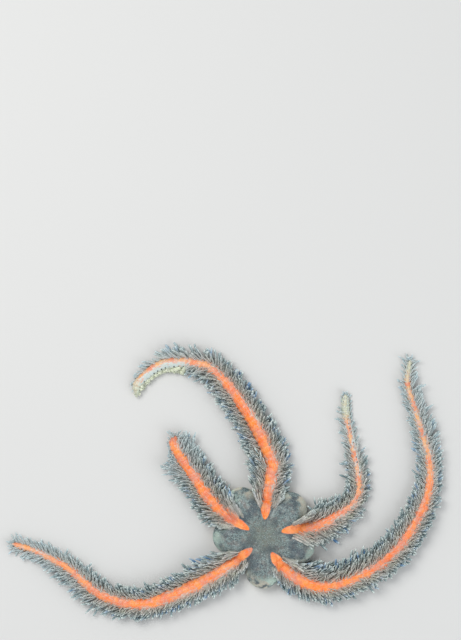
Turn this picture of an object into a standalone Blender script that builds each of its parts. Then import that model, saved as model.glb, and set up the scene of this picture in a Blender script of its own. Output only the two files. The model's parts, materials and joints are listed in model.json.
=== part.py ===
"""Life-size model of a spiny brittle star at rest, upper side up, arms curved on the floor.

The star is a five-lobed disc, a ring of jaws under it, and five arms of unlike length.
Each arm is cut into a few lengths, and each length carries its rows of side spines.
All sizes are metres, +Z is up, and the floor is z = 0.
"""

import math
import random

import bmesh
import bpy
from mathutils import Matrix, Vector

MM = 0.001
GAP = 0.3 * MM

# Where the disc's middle lies in the model's frame, whose origin is under the middle of the whole star
DISC_CENTRE = Vector((6.3 * MM, -8.6 * MM, 0.0))

# The disc: a low dome whose five swollen lobes stand between the arms
DISC_CORE_RADIUS = 6.4 * MM
DISC_WAIST_HEIGHT = 1.9 * MM
DISC_TOP_HEIGHT = 4.1 * MM
DISC_SQUARENESS = 0.8
SOLE_SHARE = 1.25
LOBE_RADIUS = 3.0 * MM
LOBE_SWELL = 0.9 * MM
LOBE_NARROWNESS = 2.5
LOBES = {47: 9.3 * MM, 126: 9.7 * MM, 181: 9.0 * MM, 267: 9.1 * MM, 341: 8.9 * MM}
DISC_SEGMENTS = 54
DISC_RINGS = 10

# The jaws: a low plug in a shallow pocket under the disc, parted by a slit below each arm
POCKET_RADIUS = 2.9 * MM
POCKET_DEPTH = 1.3 * MM
POCKET_SIDES = 30
MOUTH_RADIUS = 0.5 * MM
MOUTH_SIDES = 10
JAW_LIFT = 0.15 * MM
JAW_SLIT_WIDTH = 0.3 * MM
JAW_SLIT_REACH = 1.6 * MM

# The arms: where they leave the disc and how long the cut for each is, then the steps from one row of spines to
# the next, with the arm narrower between them
ARM_ROOT = 4.4 * MM
CHANNEL_LENGTH = 8
FIRST_STATION = 6.6 * MM
HUG_REACH = 12.0 * MM
STATION_STEP = 2.0 * MM
ARM_HEIGHT_RATIO = 1.6
JOINT_NARROWING = 0.88
END_ROUNDING = 0.55
ROUTE_STEP = 0.1 * MM
ROUTE_FINENESS = 5
TANGENT_STEPS = 6

# Section of an arm, as shares of its half width and of its height: a flat sole, full sides and a low keel
ARM_SECTION = (
    (-0.60, 0.00),
    (0.60, 0.00),
    (1.00, 0.32),
    (0.90, 0.68),
    (0.45, 0.95),
    (0.00, 1.03),
    (-0.45, 0.95),
    (-0.90, 0.68),
    (-1.00, 0.32),
)

# Side spines stand in rows, from the lowest to the highest: share of the arm's height at the root, rise in
# degrees and share of length. A thin arm has one row fewer
SPINE_ROWS = ((0.30, 2, 0.92), (0.56, 20, 1.0), (0.78, 38, 0.97), (0.94, 56, 0.88))
THIN_ARM = 1.0 * MM
SPINE_ROOT_RADIUS = 0.30 * MM
SPINE_TIP_RADIUS = 0.19 * MM
SPINE_SINK = 0.35 * MM
SPINE_SIDES = 3

# Their lean towards the arm's tip, in degrees at even shares of the arm. Beside the disc they hug the arm, and
# those that would still reach a lobe are left out
SPINE_LEAN = (32, 36, 40, 50)
SPINE_HUG = 22.0
SPINE_SWAY = 4.0
SPINE_LENGTH_SPREAD = 0.12
SEED = 12

# Each arm: the line along its back, in millimetres from the disc's middle, then its half width and the length of
# its spines at even shares of that line, and the names of its lengths
ARMS = {
    "arm_right_long": {
        "route": (
            (0, 0), (1.5, -3.4), (4.9, -7.0), (10.2, -8.7), (17.3, -6.2), (23.0, -1.7),
            (27.2, 5.4), (28.1, 12.0), (25.6, 21.2), (24.3, 26.0), (24.8, 30.0),
        ),
        "half_width": (1.7, 1.65, 1.5, 1.1, 0.5),
        "spine": (2.5, 2.8, 2.7, 2.3, 1.7),
        "lengths": ("base", "inner", "outer", "tip"),
    },
    "arm_right_short": {
        "route": (
            (0, 0), (3.4, 0.8), (8.5, 1.4), (13.9, 4.3), (16.0, 7.8), (15.4, 13.4), (14.0, 20.0), (13.8, 23.8),
        ),
        "half_width": (1.6, 1.45, 1.2, 0.8, 0.5),
        "spine": (2.6, 2.7, 2.4, 1.5, 0.9),
        "lengths": ("base", "middle", "tip"),
    },
    "arm_top": {
        "route": (
            (0, 0), (0.2, 3.4), (1.3, 9.9), (1.5, 12.8), (-1.4, 19.0), (-5.3, 24.7),
            (-9.9, 28.5), (-16.6, 28.8), (-21.0, 26.0), (-21.6, 23.6),
        ),
        "half_width": (1.7, 1.7, 1.5, 1.1, 0.55),
        "spine": (3.0, 3.6, 3.6, 2.9, 1.2),
        "lengths": ("base", "inner", "outer", "tip"),
    },
    "arm_left_short": {
        "route": ((0, 0), (-2.8, 1.3), (-8.1, 5.1), (-12.0, 10.5), (-14.9, 15.0), (-15.3, 16.9)),
        "half_width": (1.7, 1.7, 1.65, 1.5, 0.8),
        "spine": (2.8, 3.3, 3.4, 3.2, 2.4),
        "lengths": ("base", "tip"),
    },
    "arm_left_long": {
        "route": (
            (0, 0), (-2.2, -2.2), (-7.9, -6.7), (-15.0, -10.2), (-21.2, -11.8),
            (-27.7, -10.0), (-33.4, -5.5), (-38.8, -2.8), (-43.2, -1.4),
        ),
        "half_width": (1.7, 1.65, 1.5, 1.1, 0.5),
        "spine": (2.4, 2.6, 2.8, 2.4, 1.6),
        "lengths": ("base", "inner", "tip"),
    },
}


def clear_scene():
    """Removes whatever the scene holds."""
    for obj in list(bpy.data.objects):
        bpy.data.objects.remove(obj)


def new_collection(name):
    """A collection under the scene's own."""
    made = bpy.data.collections.new(name)
    bpy.context.scene.collection.children.link(made)
    return made


def new_material(name, colour, roughness):
    """A Principled BSDF of one colour."""
    made = bpy.data.materials.new(name)
    made.use_nodes = True
    shader = made.node_tree.nodes["Principled BSDF"]
    shader.inputs["Base Color"].default_value = (*colour, 1.0)
    shader.inputs["Roughness"].default_value = roughness
    return made


def new_object(name, mesh, collection, material=None):
    """An object for a mesh, in a collection, with its material."""
    made = bpy.data.objects.new(name, mesh)
    collection.objects.link(made)
    if material:
        mesh.materials.append(material)
    return made


def take_new(collection):
    """Moves the primitive that was just added into a collection."""
    made = bpy.context.object
    for holder in list(made.users_collection):
        holder.objects.unlink(made)
    collection.objects.link(made)
    return made


def apply_boolean(obj, operation, solver, others):
    """Joins obj with a collection of objects or cuts it with them, applies the result and removes them."""
    modifier = obj.modifiers.new(operation.lower(), "BOOLEAN")
    modifier.operation = operation
    modifier.solver = solver
    modifier.operand_type = "COLLECTION"
    modifier.collection = others
    bpy.context.view_layer.update()
    graph = bpy.context.evaluated_depsgraph_get()
    mesh = bpy.data.meshes.new_from_object(obj.evaluated_get(graph))
    obj.modifiers.clear()
    obj.data = mesh
    for other in list(others.objects):
        bpy.data.objects.remove(other)


def keep_largest_body(obj):
    """Drops any closed surface but the largest."""
    mesh = bmesh.new()
    mesh.from_mesh(obj.data)
    mesh.verts.ensure_lookup_table()
    unseen = set(mesh.verts)
    bodies = []
    while unseen:
        found = {unseen.pop()}
        edge_of_search = list(found)
        while edge_of_search:
            vertex = edge_of_search.pop()
            for edge in vertex.link_edges:
                other = edge.other_vert(vertex)
                if other in unseen:
                    unseen.remove(other)
                    found.add(other)
                    edge_of_search.append(other)
        bodies.append(found)
    bodies.sort(key=len)
    for body in bodies[:-1]:
        bmesh.ops.delete(mesh, geom=list(body), context="VERTS")
    mesh.to_mesh(obj.data)
    mesh.free()


def smooth_route(points):
    """The line through an arm's points, as even steps along a Catmull-Rom curve."""
    given = [DISC_CENTRE.xy + Vector(p) * MM for p in points]
    given = [2 * given[0] - given[1], *given, 2 * given[-1] - given[-2]]
    dense = []
    for a, b, c, d in zip(given, given[1:], given[2:], given[3:]):
        parts = math.ceil(ROUTE_FINENESS * (c - b).length / ROUTE_STEP)
        for i in range(parts):
            t = i / parts
            dense.append(
                0.5 * (2 * b + (c - a) * t + (2 * a - 5 * b + 4 * c - d) * t**2 + (3 * b - a - 3 * c + d) * t**3)
            )
    route = [dense[0]]
    for point in dense:
        if (point - route[-1]).length >= ROUTE_STEP:
            route.append(point)
    return route


def place_on(route, distance):
    """The point at a distance along a route, with the forward and left directions there."""
    index = min(max(int(round(distance / ROUTE_STEP)), 1), len(route) - 2)
    before = route[max(index - TANGENT_STEPS, 0)]
    after = route[min(index + TANGENT_STEPS, len(route) - 1)]
    forward = (after - before).normalized().to_3d()
    overrun = distance - index * ROUTE_STEP
    left = Vector((-forward.y, forward.x, 0.0))
    return route[index].to_3d() + forward * overrun, forward, left


def along(values, share):
    """Reads evenly spread values at a share from 0 to 1, in a straight line between them."""
    at = min(max(share, 0.0), 1.0) * (len(values) - 1)
    low = min(int(at), len(values) - 2)
    return values[low] + (values[low + 1] - values[low]) * (at - low)


def arm_ring(route, distance, half_width, grow=0.0):
    """One section of an arm across its route. grow makes it larger all round, as for a cutter."""
    point, _, left = place_on(route, distance)
    height = ARM_HEIGHT_RATIO * half_width
    ring = []
    for across, up in ARM_SECTION:
        side = math.copysign(grow, across) if across else 0.0
        lift = math.copysign(grow, up - 0.5)
        ring.append(point + left * (across * half_width + side) + Vector((0, 0, up * height + lift)))
    return ring


def loft(name, rings, collection, material=None):
    """A closed mesh through rings of points, capped at both ends."""
    shape = bmesh.new()
    rows = [[shape.verts.new(p) for p in ring] for ring in rings]
    count = len(rows[0])
    for near, far in zip(rows, rows[1:]):
        for i in range(count):
            j = (i + 1) % count
            shape.faces.new((near[i], near[j], far[j], far[i]))
    shape.faces.new(rows[0])
    shape.faces.new(rows[-1])
    bmesh.ops.recalc_face_normals(shape, faces=shape.faces)
    mesh = bpy.data.meshes.new(name)
    shape.to_mesh(mesh)
    shape.free()
    return new_object(name, mesh, collection, material)


def lobe_outline(angle):
    """Radius of the disc's edge at an angle: the core's circle, or the lobe's circle where that reaches further."""
    reach = DISC_CORE_RADIUS
    for degrees, tip in LOBES.items():
        middle = tip - LOBE_RADIUS
        turn = angle - math.radians(degrees)
        off_axis = middle * math.sin(turn)
        if math.cos(turn) > 0 and abs(off_axis) < LOBE_RADIUS:
            reach = max(reach, middle * math.cos(turn) + math.sqrt(LOBE_RADIUS**2 - off_axis**2))
    return reach


def clear_of_lobes(point):
    """True where a spine's thickness and the gap fit between a point and every lobe of the disc."""
    room = LOBE_RADIUS + SPINE_ROOT_RADIUS + GAP
    for degrees, tip in LOBES.items():
        angle = math.radians(degrees)
        middle = DISC_CENTRE.xy + Vector((math.cos(angle), math.sin(angle))) * (tip - LOBE_RADIUS)
        if (point.xy - middle).length < room:
            return False
    return True


def lobe_weight(angle):
    """1 on a lobe's own line, falling to 0 at the arms on either side."""
    nearest = min(abs(math.remainder(angle - math.radians(degrees), math.tau)) for degrees in LOBES)
    return max(0.0, math.cos(nearest * LOBE_NARROWNESS))


def build_disc(collection, material):
    """The disc as a sphere pulled into a flat-soled, five-lobed dome."""
    bpy.ops.mesh.primitive_uv_sphere_add(segments=DISC_SEGMENTS, ring_count=DISC_RINGS, radius=1.0)
    disc = take_new(collection)
    disc.name = disc.data.name = "disc"
    disc.data.materials.append(material)
    for vertex in disc.data.vertices:
        direction = vertex.co.normalized()
        angle = math.atan2(direction.y, direction.x)
        spread = math.hypot(direction.x, direction.y) ** DISC_SQUARENESS
        reach = lobe_outline(angle) * spread
        if direction.z >= 0:
            swell = LOBE_SWELL * lobe_weight(angle) * math.sin(math.pi * min(spread, 1.0)) ** 2
            height = DISC_WAIST_HEIGHT + (DISC_TOP_HEIGHT - DISC_WAIST_HEIGHT) * direction.z + swell
        else:
            height = max(0.0, DISC_WAIST_HEIGHT * (1 + SOLE_SHARE * direction.z))
        vertex.co = DISC_CENTRE + Vector((reach * math.cos(angle), reach * math.sin(angle), height))
    return disc


def build_pocket(collection):
    """The round cutter that makes room for the jaws."""
    bpy.ops.mesh.primitive_cylinder_add(vertices=POCKET_SIDES, radius=POCKET_RADIUS, depth=2 * POCKET_DEPTH)
    pocket = take_new(collection)
    pocket.location = DISC_CENTRE


def build_jaws(collection, material, cutters):
    """The jaws: a disc of five wedges round the mouth, parted by a slit below each arm."""
    thickness = POCKET_DEPTH - GAP - JAW_LIFT
    bpy.ops.mesh.primitive_cylinder_add(vertices=POCKET_SIDES, radius=POCKET_RADIUS - GAP, depth=thickness)
    jaws = take_new(collection)
    jaws.name = jaws.data.name = "jaws"
    jaws.data.materials.append(material)
    jaws.data.transform(Matrix.Translation(DISC_CENTRE + Vector((0, 0, JAW_LIFT + thickness / 2))))
    bpy.ops.mesh.primitive_cylinder_add(vertices=MOUTH_SIDES, radius=MOUTH_RADIUS, depth=4 * POCKET_DEPTH)
    mouth = take_new(cutters)
    mouth.location = DISC_CENTRE
    for arm in ARMS.values():
        outward = Vector(arm["route"][1]).normalized()
        bpy.ops.mesh.primitive_cube_add(size=1.0)
        slit = take_new(cutters)
        slit.scale = (JAW_SLIT_REACH, JAW_SLIT_WIDTH, 4 * POCKET_DEPTH)
        slit.rotation_euler.z = math.atan2(outward.y, outward.x)
        slit.location = DISC_CENTRE + (outward * JAW_SLIT_REACH / 2).to_3d()
    apply_boolean(jaws, "DIFFERENCE", "EXACT", cutters)


def build_spine(root, direction, length, collection):
    """One tapered, three-sided spine whose root is sunk in the arm."""
    shape = bmesh.new()
    turn = direction.to_track_quat("Z", "Y").to_matrix().to_4x4()
    middle = root + direction * (length / 2 - SPINE_SINK / 2)
    bmesh.ops.create_cone(
        shape,
        cap_ends=True,
        segments=SPINE_SIDES,
        radius1=SPINE_ROOT_RADIUS,
        radius2=SPINE_TIP_RADIUS,
        depth=length + SPINE_SINK,
        matrix=Matrix.Translation(middle) @ turn,
    )
    mesh = bpy.data.meshes.new("spine")
    shape.to_mesh(mesh)
    shape.free()
    return new_object("spine", mesh, collection)


def section_width(up):
    """Half width of the arm's section, as a share of the widest, at a share of its height."""
    right_side = [point for point in ARM_SECTION if point[0] >= 0]
    for (near, low), (far, high) in zip(right_side, right_side[1:]):
        if low <= up <= high:
            return near + (far - near) * (up - low) / (high - low)
    return 0.0


def grow_spines(arm, route, stations, collection, draw):
    """Both sides' rows of spines at each station of one length of an arm."""
    whole = len(route) * ROUTE_STEP
    for distance in stations:
        share = distance / whole
        half_width = along(arm["half_width"], share) * MM
        length = along(arm["spine"], share) * MM
        beside_disc = max(0.0, (HUG_REACH - distance) / (HUG_REACH - FIRST_STATION))
        lean = along(SPINE_LEAN, share) + SPINE_HUG * beside_disc
        point, forward, left = place_on(route, distance)
        rows = SPINE_ROWS if half_width > THIN_ARM else SPINE_ROWS[:-1]
        for up, rise, part in rows:
            root_height = Vector((0, 0, up * ARM_HEIGHT_RATIO * half_width))
            for side in (-1, 1):
                root = point + left * (side * section_width(up) * half_width) + root_height
                tilt = math.radians(rise + draw.uniform(0, SPINE_SWAY))
                swing = math.radians(lean + draw.uniform(-SPINE_SWAY, SPINE_SWAY))
                outward = left * side * math.cos(tilt) + Vector((0, 0, math.sin(tilt)))
                direction = (outward * math.cos(swing) + forward * math.sin(swing)).normalized()
                size = length * part * (1 + draw.uniform(-SPINE_LENGTH_SPREAD, SPINE_LENGTH_SPREAD))
                if clear_of_lobes(root + direction * size / 2) and clear_of_lobes(root + direction * size):
                    build_spine(root, direction, size, collection)


def arm_stations(route):
    """Distances of the spine stations along a whole arm."""
    whole = len(route) * ROUTE_STEP
    count = int((whole - STATION_STEP / 2 - FIRST_STATION) / STATION_STEP) + 1
    return [FIRST_STATION + i * STATION_STEP for i in range(count)]


def build_arm(name, arm, collection, material, draw):
    """The lengths of one arm, each a jointed core with its spines joined to it."""
    route = smooth_route(arm["route"])
    whole = len(route) * ROUTE_STEP
    stations = arm_stations(route)
    pieces = len(arm["lengths"])
    last = 0
    start = ARM_ROOT + GAP
    for number, word in enumerate(arm["lengths"], 1):
        until = round(len(stations) * number / pieces)
        own = stations[last:until]
        ends = number == pieces
        finish = whole if ends else own[-1] + STATION_STEP / 2 - GAP / 2
        marks = [(start, JOINT_NARROWING)]
        for distance in own:
            marks.append((distance, 1.0))
            joint = distance + STATION_STEP / 2
            if joint < finish - GAP:
                marks.append((joint, JOINT_NARROWING))
        marks.append((finish, END_ROUNDING if ends else JOINT_NARROWING))
        rings = [
            arm_ring(route, distance, along(arm["half_width"], distance / whole) * MM * narrow)
            for distance, narrow in marks
        ]
        core = loft(f"{name}_{word}", rings, collection, material)
        spines = new_collection("spines")
        grow_spines(arm, route, own, spines, draw)
        apply_boolean(core, "UNION", "MANIFOLD", spines)
        bpy.data.collections.remove(spines)
        keep_largest_body(core)
        start = finish + GAP
        last = until


def arm_channel(arm, collection):
    """The cutter that keeps the disc clear of one arm's root."""
    route = smooth_route(arm["route"])
    whole = len(route) * ROUTE_STEP
    rings = []
    for step in range(CHANNEL_LENGTH + 1):
        distance = ARM_ROOT + step * MM
        rings.append(arm_ring(route, distance, along(arm["half_width"], distance / whole) * MM, GAP))
    loft("channel", rings, collection)


def main():
    clear_scene()
    skin = new_material("disc_skin", (0.23, 0.25, 0.25), 0.6)
    arm_skin = new_material("arm", (0.72, 0.45, 0.33), 0.5)
    mouth = new_material("mouth", (0.82, 0.80, 0.68), 0.55)
    star = new_collection("brittle_star")
    cutters = new_collection("cutters")

    disc = build_disc(star, skin)
    for arm in ARMS.values():
        arm_channel(arm, cutters)
    build_pocket(cutters)
    apply_boolean(disc, "DIFFERENCE", "EXACT", cutters)
    keep_largest_body(disc)
    build_jaws(star, mouth, cutters)

    draw = random.Random(SEED)
    for name, arm in ARMS.items():
        build_arm(name, arm, star, arm_skin, draw)


main()
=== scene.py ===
"""Looks of a life-size spiny brittle star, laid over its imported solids."""

import json
import math

import bpy
import numpy as np
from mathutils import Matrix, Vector

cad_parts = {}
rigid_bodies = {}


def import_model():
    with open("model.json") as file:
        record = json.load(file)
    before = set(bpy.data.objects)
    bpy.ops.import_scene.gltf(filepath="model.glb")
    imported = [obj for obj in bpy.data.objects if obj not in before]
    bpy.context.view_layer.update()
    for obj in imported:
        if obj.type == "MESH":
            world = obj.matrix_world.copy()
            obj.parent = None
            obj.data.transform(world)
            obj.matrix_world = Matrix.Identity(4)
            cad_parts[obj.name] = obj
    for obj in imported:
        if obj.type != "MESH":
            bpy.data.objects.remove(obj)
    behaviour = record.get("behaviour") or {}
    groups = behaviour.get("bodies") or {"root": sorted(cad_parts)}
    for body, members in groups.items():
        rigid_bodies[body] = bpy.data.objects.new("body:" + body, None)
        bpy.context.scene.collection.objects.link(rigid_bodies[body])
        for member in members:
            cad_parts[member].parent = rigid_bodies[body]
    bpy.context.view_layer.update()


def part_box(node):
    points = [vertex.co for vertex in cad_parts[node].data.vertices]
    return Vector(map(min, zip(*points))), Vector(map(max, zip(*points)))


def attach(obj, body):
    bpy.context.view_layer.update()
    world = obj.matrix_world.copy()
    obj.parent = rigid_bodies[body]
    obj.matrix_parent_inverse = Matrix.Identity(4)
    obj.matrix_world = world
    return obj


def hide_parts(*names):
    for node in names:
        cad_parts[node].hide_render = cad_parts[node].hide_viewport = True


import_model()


# The studio: a pale floor just under the star, and a camera that looks straight down at it. The light comes
# from two large soft panels, a bright one at the upper left and a weaker one at the lower right.
MM = 0.001
FLOOR_SIZE = 600 * MM
FLOOR_GAP = 0.02 * MM
FLOOR_COLOUR = (0.62, 0.62, 0.61)
PHOTO_PIXEL = 0.17 * MM
PHOTO_SIZE = (461, 640)
DISC_PIXEL = (264.7, 535.2)
LENS = 200.0
SENSOR = 36.0
NEAREST_SEEN = 10 * MM
PANELS = {
    "key_panel": {"place": (-0.16, 0.14, 0.30), "size": 0.20, "watts": 0.85, "colour": (1.0, 0.99, 0.97)},
    "fill_panel": {"place": (0.24, -0.16, 0.22), "size": 0.30, "watts": 0.55, "colour": (0.95, 0.98, 1.0)},
}
ROOM_COLOUR = (0.95, 0.97, 1.0)
ROOM_LIGHT = 0.58


def plug(socket, value):
    """Links a socket to another node's output, or sets it to a number or a colour."""
    if isinstance(value, bpy.types.NodeSocket):
        socket.id_data.links.new(value, socket)
    else:
        socket.default_value = (*value, 1.0) if socket.type == "RGBA" else value


def socketed(node, **values):
    """Fills a node's inputs by name."""
    for name, value in values.items():
        plug(node.inputs[name.replace("_", " ")], value)


def new_material(name):
    """A material, its node tree and its Principled shader."""
    material = bpy.data.materials.new(name)
    material.use_nodes = True
    return material, material.node_tree, material.node_tree.nodes["Principled BSDF"]


jaws_low, jaws_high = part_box("jaws")
MIDDLE = np.array(((jaws_low.x + jaws_high.x) / 2, (jaws_low.y + jaws_high.y) / 2))

bpy.ops.object.select_all(action="DESELECT")
bpy.ops.mesh.primitive_plane_add(size=FLOOR_SIZE, location=(0, 0, -FLOOR_GAP))
floor = bpy.context.object
floor.name = "floor"
paper, tree, shader = new_material("pale_paper")
socketed(shader, Base_Color=FLOOR_COLOUR, Roughness=0.9)
floor.data.materials.append(paper)

aim_x = MIDDLE[0] + (PHOTO_SIZE[0] / 2 - DISC_PIXEL[0]) * PHOTO_PIXEL
aim_y = MIDDLE[1] + (DISC_PIXEL[1] - PHOTO_SIZE[1] / 2) * PHOTO_PIXEL
camera_height = PHOTO_SIZE[1] * PHOTO_PIXEL * LENS / SENSOR
bpy.ops.object.camera_add(location=(aim_x, aim_y, camera_height), rotation=(0, 0, 0))
camera = bpy.context.object
camera.data.lens = LENS
camera.data.sensor_width = SENSOR
camera.data.clip_start = NEAREST_SEEN
bpy.context.scene.camera = camera

for name, panel in PANELS.items():
    bpy.ops.object.light_add(type="AREA", location=panel["place"])
    light = bpy.context.object
    light.name = name
    light.data.size = panel["size"]
    light.data.energy = panel["watts"]
    light.data.color = panel["colour"]
    light.rotation_euler = (-Vector(panel["place"])).to_track_quat("-Z", "Y").to_euler()
world = bpy.context.scene.world or bpy.data.worlds.new("studio")
bpy.context.scene.world = world
world.use_nodes = True
socketed(world.node_tree.nodes["Background"], Color=ROOM_COLOUR, Strength=ROOM_LIGHT)
bpy.context.scene.view_settings.view_transform = "Standard"


# The skin: one closed sheet of flesh and small plates over the disc and all five arms. The disc is a sphere
# pulled into five swollen lobes, each arm is a loft with its rows of plates, and one union fuses them.

# An arm's line is in millimetres from the disc's middle. Its widths, spines, stripe and drift are millimetres
# at even shares of its length, rows are counts there, and golden and pale_from are shares of its length.
ARMS = {
    "right_long": {
        "line": (
            (0, 0), (1.5, -3.4), (4.9, -7.0), (10.2, -8.7), (17.3, -6.2), (23.0, -1.7),
            (27.2, 5.4), (28.1, 12.0), (25.6, 21.2), (24.3, 26.0), (24.8, 30.0),
        ),
        "half_width": (1.7, 1.65, 1.5, 1.1, 0.5),
        "left_spines": (3.7, 3.2, 2.4, 2.1, 1.8, 1.05, 1.3),
        "right_spines": (1.8, 1.35, 1.8, 1.45, 0.9, 2.3, 1.0),
        "end_spines": (0.6, 1.2),
        "stripe": (0.80, 1.05, 0.70, 0.80, 0.58, 0.34, 0.18),
        "drift": (0.0, 0.18, 0.02, 0.12, 0.2, 0.0, 0.12),
        "golden": (0.55, 0.85),
        "pale_from": 0.93,
        "lengths": ("base", "inner", "outer", "tip"),
        "rows": (8, 8, 7, 5, 3),
    },
    "right_short": {
        "line": (
            (0, 0), (3.4, 0.8), (8.5, 1.4), (13.9, 4.3),
            (16.0, 7.8), (15.4, 13.4), (13.9, 20.0), (13.7, 24.1),
        ),
        "half_width": (1.6, 1.4, 1.1, 0.74, 0.68),
        "left_spines": (3.9, 3.8, 2.5, 1.75, 1.7, 1.45, 0.8),
        "right_spines": (3.8, 3.2, 2.0, 1.2, 1.3, 0.8, 0.5),
        "end_spines": (0.5, 0.8),
        "stripe": (0.76, 0.80, 0.55, 0.34, 0.18, 0.14, 0.10),
        "drift": (0.0, 0.35, 0.5, 0.1, 0.28, 0.18, 0.1),
        "golden": (0.35, 0.70),
        "pale_from": 0.86,
        "lengths": ("base", "middle", "tip"),
        "rows": (8, 8, 5, 3, 2),
    },
    "top": {
        "line": (
            (0, 0), (0.2, 3.4), (1.3, 9.9), (1.5, 12.8), (-1.4, 19.0), (-5.3, 24.7),
            (-9.9, 28.7), (-16.8, 29.1), (-21.2, 26.1), (-21.7, 23.8),
        ),
        "half_width": (1.7, 1.7, 1.55, 1.15, 0.8),
        "left_spines": (3.6, 3.3, 2.9, 2.6, 2.2, 0.3, 0.3),
        "right_spines": (2.8, 1.8, 1.7, 1.5, 2.1, 2.4, 0.3),
        "end_spines": (0.3, 0.5),
        "stripe": (0.84, 0.86, 1.10, 0.90, 0.62, 0.25, 0.13),
        "drift": (0.0, 0.42, 0.60, 0.58, -0.07, -0.62, -0.62),
        "golden": (0.55, 0.85),
        "pale_from": 0.93,
        "lengths": ("base", "inner", "outer", "tip"),
        "rows": (8, 8, 7, 5, 3),
    },
    "left_short": {
        "line": ((0, 0), (-2.8, 1.3), (-8.1, 5.1), (-12.0, 10.5), (-14.9, 15.0), (-15.3, 16.9)),
        "half_width": (1.7, 1.7, 1.65, 1.5, 1.25),
        "left_spines": (2.6, 2.6, 2.8, 2.8, 2.6, 2.3, 1.9, 2.2, 2.1, 3.4, 1.3, 0.2, 0.2),
        "right_spines": (2.6, 2.8, 2.6, 2.1, 2.1, 2.7, 1.4),
        "end_spines": (0.6, 1.7),
        "stripe": (0.76, 0.72, 0.90, 1.08, 0.92, 0.88, 0.80),
        "drift": (0.0, 0.03, 0.08, 0.28, 0.24, 0.36, 0.2),
        "golden": (1.1, 1.4),
        "pale_from": 2.0,
        "lengths": ("base", "tip"),
        "rows": (8, 8, 8, 8, 6),
    },
    "left_long": {
        "line": (
            (0, 0), (-2.2, -2.2), (-7.9, -6.7), (-15.0, -10.2), (-21.2, -11.8),
            (-27.7, -10.0), (-33.4, -5.5), (-38.8, -2.8), (-43.2, -1.4),
        ),
        "half_width": (1.7, 1.65, 1.5, 1.1, 0.5),
        "left_spines": (2.1, 1.6, 1.05, 1.35, 2.35, 1.75, 1.3),
        "right_spines": (3.8, 3.3, 2.4, 2.0, 1.65, 1.8, 1.6),
        "end_spines": (0.6, 1.4),
        "stripe": (0.80, 0.84, 0.93, 0.92, 0.68, 0.50, 0.28),
        "drift": (0.0, -0.4, -0.66, -0.2, 0.12, 0.0, -0.3),
        "golden": (0.45, 1.3),
        "pale_from": 2.0,
        "lengths": ("base", "inner", "tip"),
        "rows": (8, 8, 7, 5, 3),
    },
}
CURVE_STEPS = 200
LINE_STEP = 0.05 * MM
SEGMENT_AT_BASE = 1.17 * MM
SEGMENT_AT_TIP = 0.72 * MM
RINGS_IN_SEGMENT = 8
POINTS_ROUND = 40
ARM_START = 2.6 * MM
TIP_ROUNDING = 1.2 * MM
FLESH = 0.96
ARM_HEIGHT = 1.6
WAIST = 0.34
BACK_RISE = 0.69
JOINT_PINCH = 0.05
PLATE_BOW = 0.14
PLATE_LIFT = 0.015
SIDE_RIDGE = 0.15
RIDGE_PLACE = 0.68
UNDER_GROOVE = 0.07
PORE_LINE = 0.38
PORE_PLACE = 0.12

DISC_CORE = 6.4 * MM
DISC_WAIST = 1.9 * MM
DISC_TOP = 4.05 * MM
DISC_INSET = 0.985
DISC_FLATTEN = 0.8
WRINKLE = 0.05 * MM
SOLE = 0.02 * MM
LOBES = {47: 9.3 * MM, 126: 9.7 * MM, 181: 9.0 * MM, 267: 9.1 * MM, 341: 8.9 * MM}
PALE_RIMS = (0.7, 1.0, 0.3, 0.9, 0.3)
LOBE_RADIUS = 3.0 * MM
LOBE_SWELL = 0.75 * MM
OUTLINE_STEP = 0.5
OUTLINE_BLUR = 4.0
PAVEMENT_EDGE = 4.1 * MM
PAVEMENT_HEIGHT = 0.08 * MM
MOUTH_HOLE = 0.52 * MM
HOLE_DEPTH = 1.3 * MM
BAG_PLACE = 6.6 * MM
BAG_HALVES = (2.4 * MM, 1.85 * MM)
BAG_STRETCH = 0.4
BAG_SLIT = 0.5 * MM
STRIPE_START = 2.8 * MM
STRIPE_FULL = 5.2 * MM
BAND_STEP = 4.1 * MM
BLUSH_PLACE = 1.78 * MM
FOLDS = (9, 14, 22, 37)
SEARCH_STEP = 4
SEARCH_BLOCK = 4000
SEED = 5


def along(values, share):
    """Values at even shares of an arm, read between them."""
    return np.interp(share, np.linspace(0, 1, len(values)), values)


def bell(distance, width):
    """1 at no distance, falling smoothly to 0 past a width."""
    return np.exp(-((distance / width) ** 2))


def ramp(value, low, high):
    """0 below low and 1 above high, smooth between them."""
    share = np.clip((value - low) / (high - low), 0, 1)
    return share * share * (3 - 2 * share)


def joint_distance(phase):
    """The distance to the nearest joint, in segments."""
    return np.abs((phase + 0.5) % 1 - 0.5)


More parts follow.
